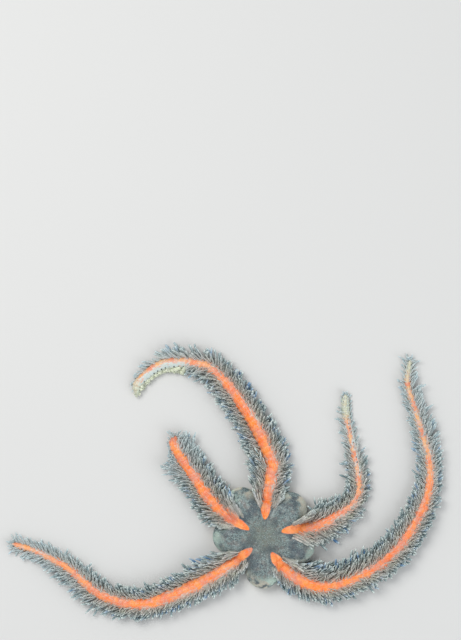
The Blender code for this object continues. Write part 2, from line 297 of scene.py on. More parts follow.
class ArmLine:
    """The centre line of one arm, with its places, directions, widths and segments."""

    def __init__(self, arm):
        self.half_widths = arm["half_width"]
        given = [np.array(p) * MM + MIDDLE for p in arm["line"]]
        given = [2 * given[0] - given[1], *given, 2 * given[-1] - given[-2]]
        t = np.linspace(0, 1, CURVE_STEPS, endpoint=False)[:, None]
        curve = [
            0.5 * (2 * b + (c - a) * t + (2 * a - 5 * b + 4 * c - d) * t**2 + (3 * b - a - 3 * c + d) * t**3)
            for a, b, c, d in zip(given, given[1:], given[2:], given[3:])
        ]
        curve = np.vstack([*curve, given[-2][None]])
        gone = np.concatenate([[0], np.cumsum(np.linalg.norm(np.diff(curve, axis=0), axis=1))])
        self.length = gone[-1]
        self.at = np.arange(0, self.length, LINE_STEP)
        self.place = np.column_stack([np.interp(self.at, gone, curve[:, i]) for i in (0, 1)])
        self.ahead = np.gradient(self.place, axis=0)
        self.ahead /= np.linalg.norm(self.ahead, axis=1)[:, None]
        joints = [ARM_START]
        while joints[-1] < self.length:
            joints.append(joints[-1] + along((SEGMENT_AT_BASE, SEGMENT_AT_TIP), joints[-1] / self.length))
        joints[-1] = self.length
        self.joints = np.array(joints)

    def read(self, distance):
        """Points of the line, and the directions ahead and to the left, at distances along it."""
        place = np.column_stack([np.interp(distance, self.at, self.place[:, i]) for i in (0, 1)])
        ahead = np.column_stack([np.interp(distance, self.at, self.ahead[:, i]) for i in (0, 1)])
        ahead /= np.linalg.norm(ahead, axis=1)[:, None]
        return place, ahead, np.column_stack([-ahead[:, 1], ahead[:, 0]])

    def read_one(self, distance):
        """The same at one distance."""
        return [values[0] for values in self.read(np.array([distance]))]

    def half_width(self, distance):
        """Half of the arm's width in the flesh, at distances along it."""
        return along(self.half_widths, distance / self.length) * MM * FLESH

    def phase(self, distance):
        """The number of joints passed at each distance, with its fraction."""
        return np.interp(distance, self.joints, np.arange(len(self.joints)))


def arm_section(turn, fraction):
    """Across and up of an arm's skin, as shares of half width and height, at a turn from its right side up
    and round, and at a fraction of a segment, with the pinch of the joints and the lift of the plates."""
    side, rise = np.cos(turn), np.sin(turn)
    across = np.sign(side) * np.abs(side) ** 0.85
    back = WAIST + BACK_RISE * np.abs(rise) ** 0.92
    up = np.where(rise > 0, back, WAIST * (1 - np.abs(rise) ** 0.6))
    bowed = fraction + PLATE_BOW * across**2
    to_joint = joint_distance(bowed)
    pinch = 1 - JOINT_PINCH * bell(to_joint, 0.16) * (0.35 + 0.65 * np.abs(side))
    ridge = 1 + SIDE_RIDGE * (bell((fraction % 1) - RIDGE_PLACE, 0.26) - 0.4) * np.abs(side) ** 2
    plate = PLATE_LIFT * (bowed % 1) * (rise > 0.3)
    below = np.clip(-rise, 0, 1)
    groove = 0.5 * bell(to_joint, 0.10) + bell(np.abs(across) - PORE_LINE, 0.10)
    return across * pinch * ridge, up * pinch + plate + UNDER_GROOVE * np.clip(groove, 0, 1) * below


def arm_mesh(line):
    """The points, walls and end caps of one arm's closed loft, from under the disc to its tip."""
    rings = []
    for near, far in zip(line.joints[:-1], line.joints[1:]):
        rings.extend(np.linspace(near, far, RINGS_IN_SEGMENT, endpoint=False))
    distance = np.array([*rings, line.length])
    place, ahead, left = line.read(distance)
    width = line.half_width(distance)
    close = np.sqrt(np.clip((line.length - distance) / TIP_ROUNDING, 0.02, 1))
    turn = np.linspace(0, math.tau, POINTS_ROUND, endpoint=False)
    fraction = line.phase(distance) % 1
    across, up = arm_section(turn[None, :], fraction[:, None])
    across = across * (width * close)[:, None]
    points = np.zeros((len(distance), POINTS_ROUND, 3))
    points[..., :2] = place[:, None] + left[:, None] * across[..., None]
    points[..., 2] = up * (width * ARM_HEIGHT * (0.4 + 0.6 * close))[:, None]
    grid = np.arange(len(distance) * POINTS_ROUND).reshape(-1, POINTS_ROUND)
    a, b = grid[:-1], grid[1:]
    walls = np.stack([a, np.roll(a, -1, 1), np.roll(b, -1, 1), b], axis=-1).reshape(-1, 4)
    return points.reshape(-1, 3), walls, np.stack([grid[0][::-1], grid[-1]])


def smooth_mesh(name, points, *groups):
    """A smooth-shaded mesh object from points and groups of faces, each an array with one face a row."""
    mesh = bpy.data.meshes.new(name)
    mesh.vertices.add(len(points))
    mesh.vertices.foreach_set("co", points.ravel())
    in_turn = np.concatenate([group.ravel() for group in groups])
    mesh.loops.add(len(in_turn))
    mesh.loops.foreach_set("vertex_index", in_turn.astype(np.int32))
    corners = np.concatenate([np.full(len(group), group.shape[1]) for group in groups])
    mesh.polygons.add(len(corners))
    mesh.polygons.foreach_set("loop_start", (np.cumsum(corners) - corners).astype(np.int32))
    mesh.polygons.foreach_set("use_smooth", np.ones(len(corners), bool))
    mesh.update(calc_edges=True)
    mesh.validate()
    made = bpy.data.objects.new(name, mesh)
    bpy.context.scene.collection.objects.link(made)
    return made


def recalculate_normals(obj):
    """Turns a closed mesh's faces outwards."""
    bpy.ops.object.select_all(action="DESELECT")
    obj.select_set(True)
    bpy.context.view_layer.objects.active = obj
    bpy.ops.object.mode_set(mode="EDIT")
    bpy.ops.mesh.select_all(action="SELECT")
    bpy.ops.mesh.normals_make_consistent(inside=False)
    bpy.ops.object.mode_set(mode="OBJECT")


def points_of(obj):
    """An object's vertices as an array."""
    points = np.zeros(len(obj.data.vertices) * 3)
    obj.data.vertices.foreach_get("co", points)
    return points.reshape(-1, 3)


def move_points(obj, points):
    """Puts an array of points back into an object's mesh."""
    obj.data.vertices.foreach_set("co", points.ravel())
    obj.data.update()


def round_middle(points):
    """The direction and the distance of points from the disc's middle."""
    x, y = points[:, 0] - MIDDLE[0], points[:, 1] - MIDDLE[1]
    return np.arctan2(y, x), np.hypot(x, y)


lobe_turns = np.radians(list(LOBES))
outline_turns = np.radians(np.arange(-180, 180, OUTLINE_STEP))
outline = np.full(outline_turns.shape, DISC_CORE)
for lobe_turn, tip in zip(lobe_turns, LOBES.values()):
    off_line = outline_turns - lobe_turn
    lobe_middle = tip - LOBE_RADIUS
    inside = LOBE_RADIUS**2 - (lobe_middle * np.sin(off_line)) ** 2
    reach = lobe_middle * np.cos(off_line) + np.sqrt(np.abs(inside))
    outline = np.maximum(outline, np.where((np.cos(off_line) > 0) & (inside > 0), reach, 0))
blur = bell(np.arange(-24, 25) * OUTLINE_STEP, OUTLINE_BLUR)
outline = np.convolve(np.tile(outline, 3), blur / blur.sum(), "same")[len(outline):2 * len(outline)]


def disc_edge(turn):
    """The disc's reach in each direction."""
    return np.interp(turn, outline_turns, outline, period=math.tau) * DISC_INSET


def off_lobes(turn):
    """The turn from each lobe's middle line, one column for each lobe."""
    return (turn[:, None] - lobe_turns + math.pi) % math.tau - math.pi


def rim_share(turn):
    """How pale the rim is in each direction: most on the upper left, upper right and lower lobes."""
    return 0.2 + (bell(off_lobes(turn), 0.5) * PALE_RIMS).max(1)


def bag_distance(turn, radius):
    """0 in the middle of the nearest bag under the disc, 1 at its edge, drawn out towards the rim."""
    off = off_lobes(turn)
    ahead = (radius[:, None] * np.cos(off) - BAG_PLACE) / BAG_HALVES[0]
    ahead = np.where(ahead > 0, BAG_STRETCH * ahead, ahead)
    return np.min(ahead**2 + (radius[:, None] * np.sin(off) / BAG_HALVES[1]) ** 2, axis=1)


def disc_height(turn, spread, rise=None):
    """The height of the disc's upper side, with its swollen lobes and soft wrinkles, at a spread from its
    middle to its edge. The rise, where it isn't given, is that of the flattened sphere."""
    if rise is None:
        rise = np.sqrt(1 - spread ** (2 / DISC_FLATTEN))
    on_lobe = np.clip(np.cos(np.abs(off_lobes(turn)).min(axis=1) * 2.5), 0, 1)
    lobes = LOBE_SWELL * on_lobe**0.8 * np.sin(np.pi * spread**1.9) ** 1.6
    wrinkle = WRINKLE * np.sin(turn * 40 + 9 * spread) * np.sin(spread * 23 + 3 * np.sin(turn * 5))
    return DISC_WAIST + (DISC_TOP - DISC_WAIST) * rise + lobes + wrinkle * ramp(spread, 0.35, 0.6)


bpy.ops.object.select_all(action="DESELECT")
bpy.ops.mesh.primitive_uv_sphere_add(segments=240, ring_count=96, radius=1.0)
skin = bpy.context.object
skin.name = skin.data.name = "skin"
unit = points_of(skin)
unit /= np.linalg.norm(unit, axis=1)[:, None]
turn = np.arctan2(unit[:, 1], unit[:, 0])
spread = np.clip(np.hypot(unit[:, 0], unit[:, 1]), 0, 1) ** DISC_FLATTEN
radius = disc_edge(turn) * spread
belly = np.clip(DISC_WAIST * (1 + 1.25 * unit[:, 2]), SOLE, None)
bag = SOLE + BAG_SLIT * ramp(bag_distance(turn, radius), 0.3, 1.2)
off_hole = ramp(radius, MOUTH_HOLE * 0.75, MOUTH_HOLE * 1.2)
pavement = PAVEMENT_HEIGHT + (HOLE_DEPTH - PAVEMENT_HEIGHT) * (1 - off_hole)
off_pavement = ramp(radius, PAVEMENT_EDGE - 0.5 * MM, PAVEMENT_EDGE + 0.3 * MM)
under_shape = pavement + (bag - pavement) * off_pavement
belly = np.maximum(belly, under_shape * ramp(-unit[:, 2], 0.15, 0.5))
height = np.where(unit[:, 2] >= 0, disc_height(turn, spread, unit[:, 2]), belly)
flat = MIDDLE + radius[:, None] * np.column_stack([np.cos(turn), np.sin(turn)])
move_points(skin, np.column_stack([flat, height]))

lines = {name: ArmLine(arm) for name, arm in ARMS.items()}
arm_lofts = bpy.data.collections.new("arm_lofts")
bpy.context.scene.collection.children.link(arm_lofts)
for name, line in lines.items():
    loft = smooth_mesh("loft_" + name, *arm_mesh(line))
    recalculate_normals(loft)
    bpy.context.scene.collection.objects.unlink(loft)
    arm_lofts.objects.link(loft)
recalculate_normals(skin)
union = skin.modifiers.new("union", "BOOLEAN")
union.operation = "UNION"
union.solver = "MANIFOLD"
union.operand_type = "COLLECTION"
union.collection = arm_lofts
bpy.context.view_layer.objects.active = skin
bpy.ops.object.modifier_apply(modifier="union")
for loft in list(arm_lofts.objects):
    bpy.data.objects.remove(loft)
bpy.data.collections.remove(arm_lofts)


def nearest_on_arms(points):
    """For each point, the nearest arm's number, the distance along its line and the distance to its left."""
    best = np.full(len(points), np.inf)
    number = np.zeros(len(points), int)
    distance = np.zeros(len(points))
    leftward = np.zeros(len(points))
    for i, line in enumerate(lines.values()):
        at, place, ahead = (values[::SEARCH_STEP] for values in (line.at, line.place, line.ahead))
        for start in range(0, len(points), SEARCH_BLOCK):
            block = points[start:start + SEARCH_BLOCK, :2]
            gap = ((block[:, None] - place[None]) ** 2).sum(-1)
            index = gap.argmin(1)
            offset = block - place[index]
            ahead_by = (offset * ahead[index]).sum(1)
            left_by = offset[:, 1] * ahead[index, 0] - offset[:, 0] * ahead[index, 1]
            span = np.sqrt(gap[np.arange(len(block)), index])
            own = slice(start, start + len(block))
            closer = span < best[own]
            for kept, found in (
                (best, span), (number, i), (distance, at[index] + ahead_by), (leftward, left_by),
            ):
                kept[own] = np.where(closer, found, kept[own])
    return number, distance, leftward


def add_attribute(obj, name, values):
    """Stores one number for each vertex."""
    made = obj.data.attributes.new(name, "FLOAT", "POINT")
    made.data.foreach_set("value", np.asarray(values, np.float32))


draw = np.random.default_rng(SEED)
points = points_of(skin)
normals = np.zeros(len(points) * 3)
skin.data.vertices.foreach_get("normal", normals)
arm_number, run, leftward = nearest_on_arms(points)
turn, from_middle = round_middle(points)
stripe, golden, band, dots, pores, pale, beside, joint, crest, blush = np.zeros((10, len(points)))
for i, (arm, line) in enumerate(zip(ARMS.values(), lines.values())):
    own = arm_number == i
    at, left = run[own], leftward[own]
    share = at / line.length
    half = along(arm["half_width"], share) * MM
    phase = line.phase(at)
    to_joint = joint_distance(phase)
    off_stripe = np.abs(left - along(arm["drift"], share) * MM)
    nose = 1 - np.clip((at - STRIPE_START) / (STRIPE_FULL - STRIPE_START), 0, 1)
    width = along(arm["stripe"], share) * MM * (1 - nose**2) ** 0.7
    stripe[own] = np.where(at < STRIPE_START, -1.0, (width - off_stripe) / MM)
    golden[own] = ramp(share, *arm["golden"])
    waves = math.tau * at / BAND_STEP + draw.uniform(0, math.tau) + np.sin(at / (3.1 * MM))
    band[own] = 0.5 + 0.5 * np.cos(waves)
    bare = ramp(-along(arm["left_spines"], share), -1.4, -0.8) * (arm["golden"][0] < 1)
    by_stripe = bell(to_joint, 0.19) * bell(off_stripe - width - 0.2 * MM, 0.15 * MM) * ramp(share, 0.4, 0.6)
    on_bare = 1.2 * bell(to_joint, 0.17) * bell(left / half - 0.6, 0.14) * bare
    dots[own] = np.maximum(by_stripe * (1 - bare), on_bare)
    to_pore = (phase % 1 - PORE_PLACE) * SEGMENT_AT_BASE
    pores[own] = bell(np.hypot(to_pore, np.abs(left) - PORE_LINE * half), 0.17 * MM) * (at > 3.2 * MM)
    pale_tip = ramp(share, arm["pale_from"], arm["pale_from"] + 0.05)
    pale[own] = np.maximum(ramp(left / half, 0.55, 0.8) * bare, pale_tip)
    beside[own] = np.abs(left) / np.maximum(half, 0.1 * MM)
    crest[own] = bell(phase % 1 - RIDGE_PLACE, 0.22)
    seam = bell(to_joint, 0.2) * ramp(at, ARM_START, ARM_START + 0.4 * MM)
    joint[own] = seam * ramp(-beside[own], -1.1, -0.8)
    blush[own] = bell(np.hypot(at - BLUSH_PLACE, left), 0.45 * MM)
radial = sum(
    np.sin(folds * turn + draw.uniform(0, math.tau) + 0.9 * np.sin(from_middle / MM * 1.4 + folds))
    for folds in FOLDS
) / len(FOLDS)
edge = disc_edge(turn)
in_disc = from_middle < edge * 1.01
between_arms = beside > 1.0
on_disc = in_disc & (between_arms | (run < 5.9 * MM))
rim = ramp(from_middle / edge, 0.72, 0.95) * (from_middle < edge * 1.02)
# Painted shade: the disc is darkened in the grooves just outside each stripe's edges and along each arm's
# line near the middle.
groove = 0.8 * bell(np.clip(-stripe, 0, None) - 0.25, 0.28) * ramp(from_middle, 2.6 * MM, 4.5 * MM)
groove = np.maximum(groove, 0.6 * bell(leftward, 0.5 * MM) * bell(from_middle - 2.4 * MM, 0.9 * MM))
bags = bag_distance(turn, from_middle)
slit = bell(bags - 1.12, 0.2) * ramp(from_middle, 4.0 * MM, 4.4 * MM)
marks = {
    "stripe": np.clip(stripe, -3, 2),
    "golden": golden,
    "band": band,
    "dots": dots,
    "pores": pores,
    "pale": pale,
    "joint": joint,
    "crest": crest,
    "beside": np.where(on_disc, 0, np.clip(beside, 0, 2)),
    "radial": 0.5 + 0.5 * radial,
    "groove": groove * on_disc,
    "disc": in_disc * np.where(between_arms, 1.0, ramp(-run, -7.0 * MM, -5.2 * MM)),
    "rim": rim * rim_share(turn),
    "hem": rim * between_arms,
    "under": ramp(-normals.reshape(-1, 3)[:, 2], -0.05, 0.4),
    "radius": from_middle / MM,
    "run": run / MM,
    "left": leftward / MM,
    "blush": blush,
    "bag": ramp(-bags, -1.3, -0.75) * (from_middle > 3.8 * MM) * on_disc,
    "slit": slit * ramp(-from_middle, -8.2 * MM, -6.6 * MM) * on_disc,
}
for name, values in marks.items():
    add_attribute(skin, name, values)


def read(tree, name):
    """A number stored for each vertex."""
    node = tree.nodes.new("ShaderNodeAttribute")
    node.attribute_name = name
    return node.outputs["Fac"]


def noise(tree, scale, detail=3.0, roughness=0.5):
    """A noise texture over the piece's own coordinates, scale in lumps a metre."""
    node = tree.nodes.new("ShaderNodeTexNoise")
    place = tree.nodes.new("ShaderNodeTexCoord").outputs["Object"]
    socketed(node, Vector=place, Scale=scale, Detail=detail, Roughness=roughness)
    return node.outputs["Fac"]


def spots(tree, scale):
    """The distance to the nearest of scattered points, scale in points a metre."""
    node = tree.nodes.new("ShaderNodeTexVoronoi")
    socketed(node, Vector=tree.nodes.new("ShaderNodeTexCoord").outputs["Object"], Scale=scale)
    return node.outputs["Distance"]


def between(value, low, high, start=0.0, end=1.0):
    """Maps a value from low and high to start and end, smoothly and held at both ends."""
    node = value.id_data.nodes.new("ShaderNodeMapRange")
    node.interpolation_type = "SMOOTHSTEP"
    socketed(node, Value=value, From_Min=low, From_Max=high, To_Min=start, To_Max=end)
    return node.outputs["Result"]


def maths(operation, first, second):
    """One sum of a node's output and another output or number."""
    node = first.id_data.nodes.new("ShaderNodeMath")
    node.operation = operation
    plug(node.inputs[0], first)
    plug(node.inputs[1], second)
    return node.outputs["Value"]


def product(first, second):
    """Both values multiplied."""
    return maths("MULTIPLY", first, second)


def total(first, second):
    """Both values added."""
    return maths("ADD", first, second)


def blend(factor, first, second):
    """A colour between two colours."""
    node = factor.id_data.nodes.new("ShaderNodeMix")
    node.data_type = "RGBA"
    for number, value in ((0, factor), (6, first), (7, second)):
        plug(node.inputs[number], value)
    return node.outputs[2]


def layered(colour, *layers):
    """A colour with further ones laid over it in turn, each where and as strongly as its own factor says."""
    for factor, over in layers:
        colour = blend(factor, colour, over)
    return colour


def bump(shader, height, distance):
    """Raises fine relief on a shader from a height."""
    node = shader.id_data.nodes.new("ShaderNodeBump")
    socketed(node, Height=height, Distance=distance, Strength=1.0)
    socketed(shader, Normal=node.outputs["Normal"])


flesh, tree, shader = new_material("brittle_star_skin")
mark = {name: read(tree, name) for name in marks}


def fibres(along_scale, across_scale):
    """A noise drawn out along the arms, from each vertex's place along and across them in millimetres."""
    place = tree.nodes.new("ShaderNodeCombineXYZ")
    socketed(place, X=product(mark["run"], along_scale), Y=product(mark["left"], across_scale))
    node = tree.nodes.new("ShaderNodeTexNoise")
    socketed(node, Vector=place.outputs["Vector"], Scale=1.0, Detail=3.0, Roughness=0.6)
    return node.outputs["Fac"]


fine = noise(tree, 4200, 4.0, 0.65)
broad = noise(tree, 420, 2.0)
patch = noise(tree, 1000)
speck = spots(tree, 2600)
raggedness = between(mark["radius"], 3.6, 8.5)
waver = between(noise(tree, 1300), 0.3, 0.7, -0.24, 0.24)
waver = total(waver, between(noise(tree, 380), 0.3, 0.7, -0.26, 0.26))
waver = total(waver, between(fibres(0.9, 5.0), 0.35, 0.65, -0.40, 0.40))
ragged = total(mark["stripe"], product(raggedness, waver))
on_stripe = between(ragged, -0.05, 0.10)

worn = product(mark["band"], between(broad, 0.40, 0.54))
vivid = blend(between(patch, 0.40, 0.60), (0.91, 0.165, 0.008), (0.96, 0.245, 0.018))
faded = blend(between(fine, 0.38, 0.6), (0.75, 0.155, 0.07), (0.65, 0.31, 0.21))
by_edge = between(total(ragged, product(mark["band"], 0.2)), 0.20, 0.85, 0.9, 0.0)
streaks = blend(between(fibres(1.1, 7.0), 0.42, 0.58), (0.76, 0.185, 0.075), (0.58, 0.36, 0.27))
blotch = total(mark["band"], between(noise(tree, 800), 0.3, 0.7, -0.35, 0.35))
gold = layered(
    blend(between(patch, 0.4, 0.6), (0.78, 0.40, 0.15), (0.66, 0.50, 0.31)),
    (between(blotch, 0.55, 1.10, 0.0, 0.85), (0.70, 0.20, 0.11)),
)
# Painted highlight: a brighter orange patch on each stripe from 3.2 to 7 mm along the arm, where it leaves
# the disc.
painted_nose_highlight = product(between(mark["run"], 3.2, 4.4), between(mark["run"], 4.6, 7.0, 1.0, 0.0))
painted_nose_highlight = product(painted_nose_highlight, between(noise(tree, 900, 2.0), 0.42, 0.6, 0.0, 0.6))
orange = layered(
    vivid,
    (worn, faded),
    (product(by_edge, raggedness), streaks),
    (between(noise(tree, 700, 2.0), 0.52, 0.62, 0.0, 0.7), (0.95, 0.30, 0.05)),
    (mark["golden"], gold),
    (between(fibres(1.3, 9.0), 0.52, 0.66, 0.0, 0.6), (0.80, 0.42, 0.30)),
    (between(fibres(1.8, 7.0), 0.56, 0.70, 0.0, 0.6), (0.74, 0.10, 0.02)),
    (between(spots(tree, 2300), 0.10, 0.24, 0.35, 0.0), (0.84, 0.56, 0.44)),
    (between(mark["joint"], 0.5, 1.0, 0.0, 0.16), (0.80, 0.30, 0.18)),
    # painted highlight on the stripe's nose
    (painted_nose_highlight, (0.96, 0.38, 0.13)),
)

flank = layered(
    blend(between(fine, 0.35, 0.65), (0.38, 0.36, 0.31), (0.64, 0.60, 0.53)),
    (between(patch, 0.5, 0.7, 0.0, 0.5), (0.36, 0.38, 0.28)),
    (between(mark["golden"], 0.2, 0.9, 0.0, 0.8), (0.54, 0.63, 0.61)),
)
halo = blend(between(fine, 0.4, 0.6), (0.70, 0.27, 0.17), (0.64, 0.46, 0.38))
pale_green = blend(between(fine, 0.4, 0.6), (0.42, 0.46, 0.33), (0.62, 0.66, 0.52))
dotted = product(between(mark["dots"], 0.25, 0.7), between(patch, 0.38, 0.55))
arm_top = layered(
    flank,
    (between(ragged, -0.55, -0.05), halo),
    (on_stripe, orange),
    (product(mark["pale"], 0.85), pale_green),
    (dotted, (0.05, 0.05, 0.05)),
)

pale_rim = product(mark["rim"], between(noise(tree, 480), 0.38, 0.52, 0.0, 0.95))
rim_colour = blend(between(noise(tree, 210, 1.0), 0.46, 0.54), (0.54, 0.70, 0.60), (0.52, 0.47, 0.38))
disc_top = layered(
    blend(between(fine, 0.38, 0.62), (0.045, 0.07, 0.08), (0.24, 0.32, 0.31)),
    (between(patch, 0.48, 0.66, 0.0, 0.5), (0.19, 0.14, 0.125)),
    (between(mark["radial"], 0.55, 0.9, 0.0, 0.5), (0.33, 0.38, 0.36)),
    (between(broad, 0.48, 0.60, 0.0, 0.65), (0.03, 0.05, 0.07)),
    (between(speck, 0.05, 0.22, 0.75, 0.0), (0.52, 0.58, 0.56)),
    (between(mark["radius"], 0.4, 4.8, 0.6, 0.0), (0.15, 0.17, 0.125)),
    (pale_rim, rim_colour),
    # painted shade in the grooves beside the stripes
    (product(mark["groove"], 0.85), (0.03, 0.045, 0.06)),
    (on_stripe, orange),
)

side_plates = blend(mark["crest"], (0.38, 0.37, 0.29), (0.82, 0.80, 0.66))
bag_skin = layered(
    blend(between(patch, 0.4, 0.65), (0.62, 0.57, 0.44), (0.70, 0.63, 0.53)),
    (between(noise(tree, 330, 2.0), 0.5, 0.62, 0.0, 0.5), (0.50, 0.51, 0.28)),
)
cream = layered(
    blend(between(fine, 0.35, 0.65), (0.76, 0.76, 0.62), (0.88, 0.88, 0.77)),
    (between(mark["joint"], 0.55, 1.0, 0.0, 0.8), (0.48, 0.48, 0.31)),
    (between(mark["beside"], 0.20, 0.34, 0.0, 0.45), (0.58, 0.59, 0.42)),
    (between(mark["beside"], 0.40, 0.62, 0.0, 0.85), side_plates),
    (between(mark["radius"], 2.7, 3.5, 0.55, 0.0), (0.56, 0.53, 0.38)),
    (product(mark["blush"], 0.75), (0.56, 0.44, 0.38)),
    (product(mark["hem"], 0.8), (0.40, 0.41, 0.35)),
    (mark["bag"], bag_skin),
    (product(mark["slit"], between(broad, 0.42, 0.54, 0.0, 0.9)), (0.14, 0.11, 0.06)),
    (between(mark["pores"], 0.30, 0.6, 0.0, 0.95), (0.09, 0.055, 0.03)),
    (between(mark["radius"], 0.50, 0.75, 0.95, 0.0), (0.19, 0.14, 0.035)),
    (between(mark["radius"], 0.6, 1.3, 0.5, 0.0), (0.66, 0.58, 0.30)),
)
upper = blend(mark["disc"], arm_top, disc_top)
socketed(
    shader, Base_Color=blend(mark["under"], upper, cream), Roughness=between(fine, 0.3, 0.7, 0.34, 0.58),
    Subsurface_Weight=0.12, Subsurface_Radius=(1.0, 0.7, 0.5), Subsurface_Scale=0.4 * MM,
    Coat_Weight=0.25, Coat_Roughness=0.25,
)
bump(shader, total(fine, product(speck, -0.5)), 0.06 * MM)
skin.data.materials.clear()
skin.data.materials.append(flesh)
skin.data.polygons.foreach_set("use_smooth", np.ones(len(skin.data.polygons), bool))
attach(skin, "root")
arm_nodes = [f"arm_{name}_{length}" for name, arm in ARMS.items() for length in arm["lengths"]]
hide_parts("disc", *arm_nodes)


# The side spines: glassy, blunt rods of calcite in upright rows on both sides of every segment. Each is a
# flattened rod with toothed edges and a flared end, set by a rule for its place. One mesh joins an arm's.
SPINE_SIDES = 6
SPINE_STEPS = np.array((0.0, 0.18, 0.34, 0.50, 0.66, 0.81, 0.93, 1.0))
SPINE_RADII = ((0.0, 0.35, 0.75, 0.93, 1.0), (0.155, 0.13, 0.112, 0.135, 0.08))
SPINE_FLATNESS = (1.25, 0.78)
SPINE_TEETH = 0.22
SPINE_SINK = 0.25 * MM
SPINE_POINT = 0.05 * MM
FIRST_SPINES = 5.1 * MM
LAST_SPINES = 0.3 * MM
NEAR_DISC = (5.5 * MM, 9.5 * MM)
LEAN = (30, 33, 36, 44)
HUG = 28.0
LOWEST_TURN = 12
STEEPEST = (22, 70)
ROW_SETS = (
    {"place": 0.72, "shift": 0.0, "fewer": 0, "lowest": 0.0, "length": 1.0, "girth": 1.0},
    {"place": 0.24, "shift": 0.5, "fewer": 1, "lowest": 0.0, "length": 0.9, "girth": 0.82},
    {"place": 0.48, "shift": 0.25, "fewer": 1, "lowest": 0.45, "length": 0.85, "girth": 0.85},
)
LEVELS = (0, 0.35, 0.7, 1)
LENGTH_AT_LEVELS = (0.82, 1.03, 0.96, 0.66)
GIRTH_AT_LEVELS = (1.35, 1.3, 0.88, 0.64)
GIRTH_ALONG = ((0, 0.6, 1.0), (1.0, 0.92, 0.60))
BARE_BELOW = 1.2 * MM
STUB_LEVEL = 0.55
STUB_GIRTH = 2.1
SPARSE_FROM = 0.72
SPARSE_GIRTH = 1.25
END_SPINES = 16
THINNED = 0.12
CLUMP_SEGMENTS = 2.6
CLUMP_PULL = 0.38
LOWEST = 0.03 * MM
LOWEST_TIP = 0.15 * MM
ROOT_SCATTER = 0.19 * MM
ROOT_SINK = 0.05 * MM
HIGHEST = 4.85 * MM
MAP_LENGTH = 66 * MM
MAP_STRIP = 0.19
PATCH = 0.003


def add_map(obj, homes, patch):
    """The map that the surface is baked on: a small patch for each repeated shape, at that shape's home."""
    uv = (np.array(homes)[:, None] + PATCH * patch[None]).reshape(-1, 2)
    loops = np.zeros(len(obj.data.loops), int)
    obj.data.loops.foreach_get("vertex_index", loops)
    layer = obj.data.uv_layers.new(name="OFBake")
    layer.data.foreach_set("uv", uv[loops].ravel())


def arm_home(number, distance, across):
    """A place on an arm's strip of the map, by distance along it and share of the strip off its middle."""
    return distance / MAP_LENGTH, number * MAP_STRIP + MAP_STRIP * (0.5 + across)


def copied_faces(faces, copies, points_each):
    """The faces of one shape, numbered on for each of its copies."""
    return (np.arange(copies)[:, None, None] * points_each + faces).reshape(-1, faces.shape[1])


def joined_rods(name, points, steps, sides, homes):
    """One mesh of many rods, each with its rings and an end point, with its map and its shaft attribute. Also
    gives the share of its length at which each point of a rod stands."""
    ring = np.arange(sides)
    below = np.arange(len(steps) - 1)[:, None] * sides
    after = (ring + 1) % sides
    walls = np.stack([below + ring, below + after, below + sides + after, below + sides + ring], axis=-1)
    last = (len(steps) - 1) * sides
    end_fan = np.column_stack([last + ring, last + after, np.full(sides, last + sides)])
    root_fan = np.column_stack([np.zeros(sides - 2, int), ring[2:], ring[1:-1]])
    copies = points.shape[:2]
    made = smooth_mesh(
        name, points.reshape(-1, 3), copied_faces(walls.reshape(-1, 4), *copies),
        copied_faces(np.vstack([end_fan, root_fan]), *copies),
    )
    shafts = np.append(np.repeat(steps, sides), 1.0)
    around = np.append(np.tile(ring / sides, len(steps)), 0.5)
    add_attribute(made, "shaft", np.tile(shafts, len(points)))
    add_map(made, homes, np.column_stack([shafts, around]))
    return made, shafts


def rods(root, direction, length, bend, girth):
    """Points of many spines at once, ring by ring, each with its end point."""
    first = np.cross(direction, (0.0, 0.0, 1.0))
    first /= np.linalg.norm(first, axis=1)[:, None]
    second = np.cross(direction, first)
    steps = SPINE_STEPS[None, :, None]
    length = length[:, None, None]
    centres = root[:, None] + direction[:, None] * (steps * (length + SPINE_SINK) - SPINE_SINK)
    centres = centres + bend[:, None] * steps**2 * length
    radii = (np.interp(SPINE_STEPS, *SPINE_RADII) * MM)[None] * girth[:, None]
    teeth = 1 + SPINE_TEETH * np.where(np.arange(len(SPINE_STEPS)) % 2, 1, -1) * (SPINE_STEPS > 0.1)
    turns = np.linspace(0, math.tau, SPINE_SIDES, endpoint=False)[:, None]
    wide = (radii * teeth)[..., None, None] * np.cos(turns) * first[:, None, None] * SPINE_FLATNESS[0]
    thin = radii[..., None, None] * np.sin(turns) * second[:, None, None] * SPINE_FLATNESS[1]
    rings = centres[:, :, None] + wide + thin
    ends = centres[:, -1:] + direction[:, None] * SPINE_POINT
    return np.concatenate([rings.reshape(len(root), -1, 3), ends], axis=1)


glass, tree, shader = new_material("glassy_spines")
mark = {name: read(tree, name) for name in ("shaft", "tone", "tipward", "outward", "stub")}
blushing = product(between(mark["outward"], 0.22, 0.42, 1.0, 0.0), between(noise(tree, 700), 0.45, 0.6))
beige = layered(
    blend(mark["tone"], (0.27, 0.27, 0.245), (0.53, 0.50, 0.45)),
    (between(noise(tree, 900), 0.48, 0.66, 0.0, 0.6), (0.42, 0.44, 0.34)),
    (blushing, (0.60, 0.34, 0.26)),
)
steel = layered(
    blend(mark["tone"], (0.10, 0.17, 0.19), (0.26, 0.35, 0.37)),
    (between(mark["tone"], 0.80, 0.90), (0.09, 0.22, 0.40)),
)
whitened = product(between(mark["shaft"], 0.72, 0.98), between(mark["outward"], 0.40, 0.85, 0.15, 0.80))
whitened = product(whitened, between(noise(tree, 650, 2.0), 0.36, 0.58, 0.3, 1.0))
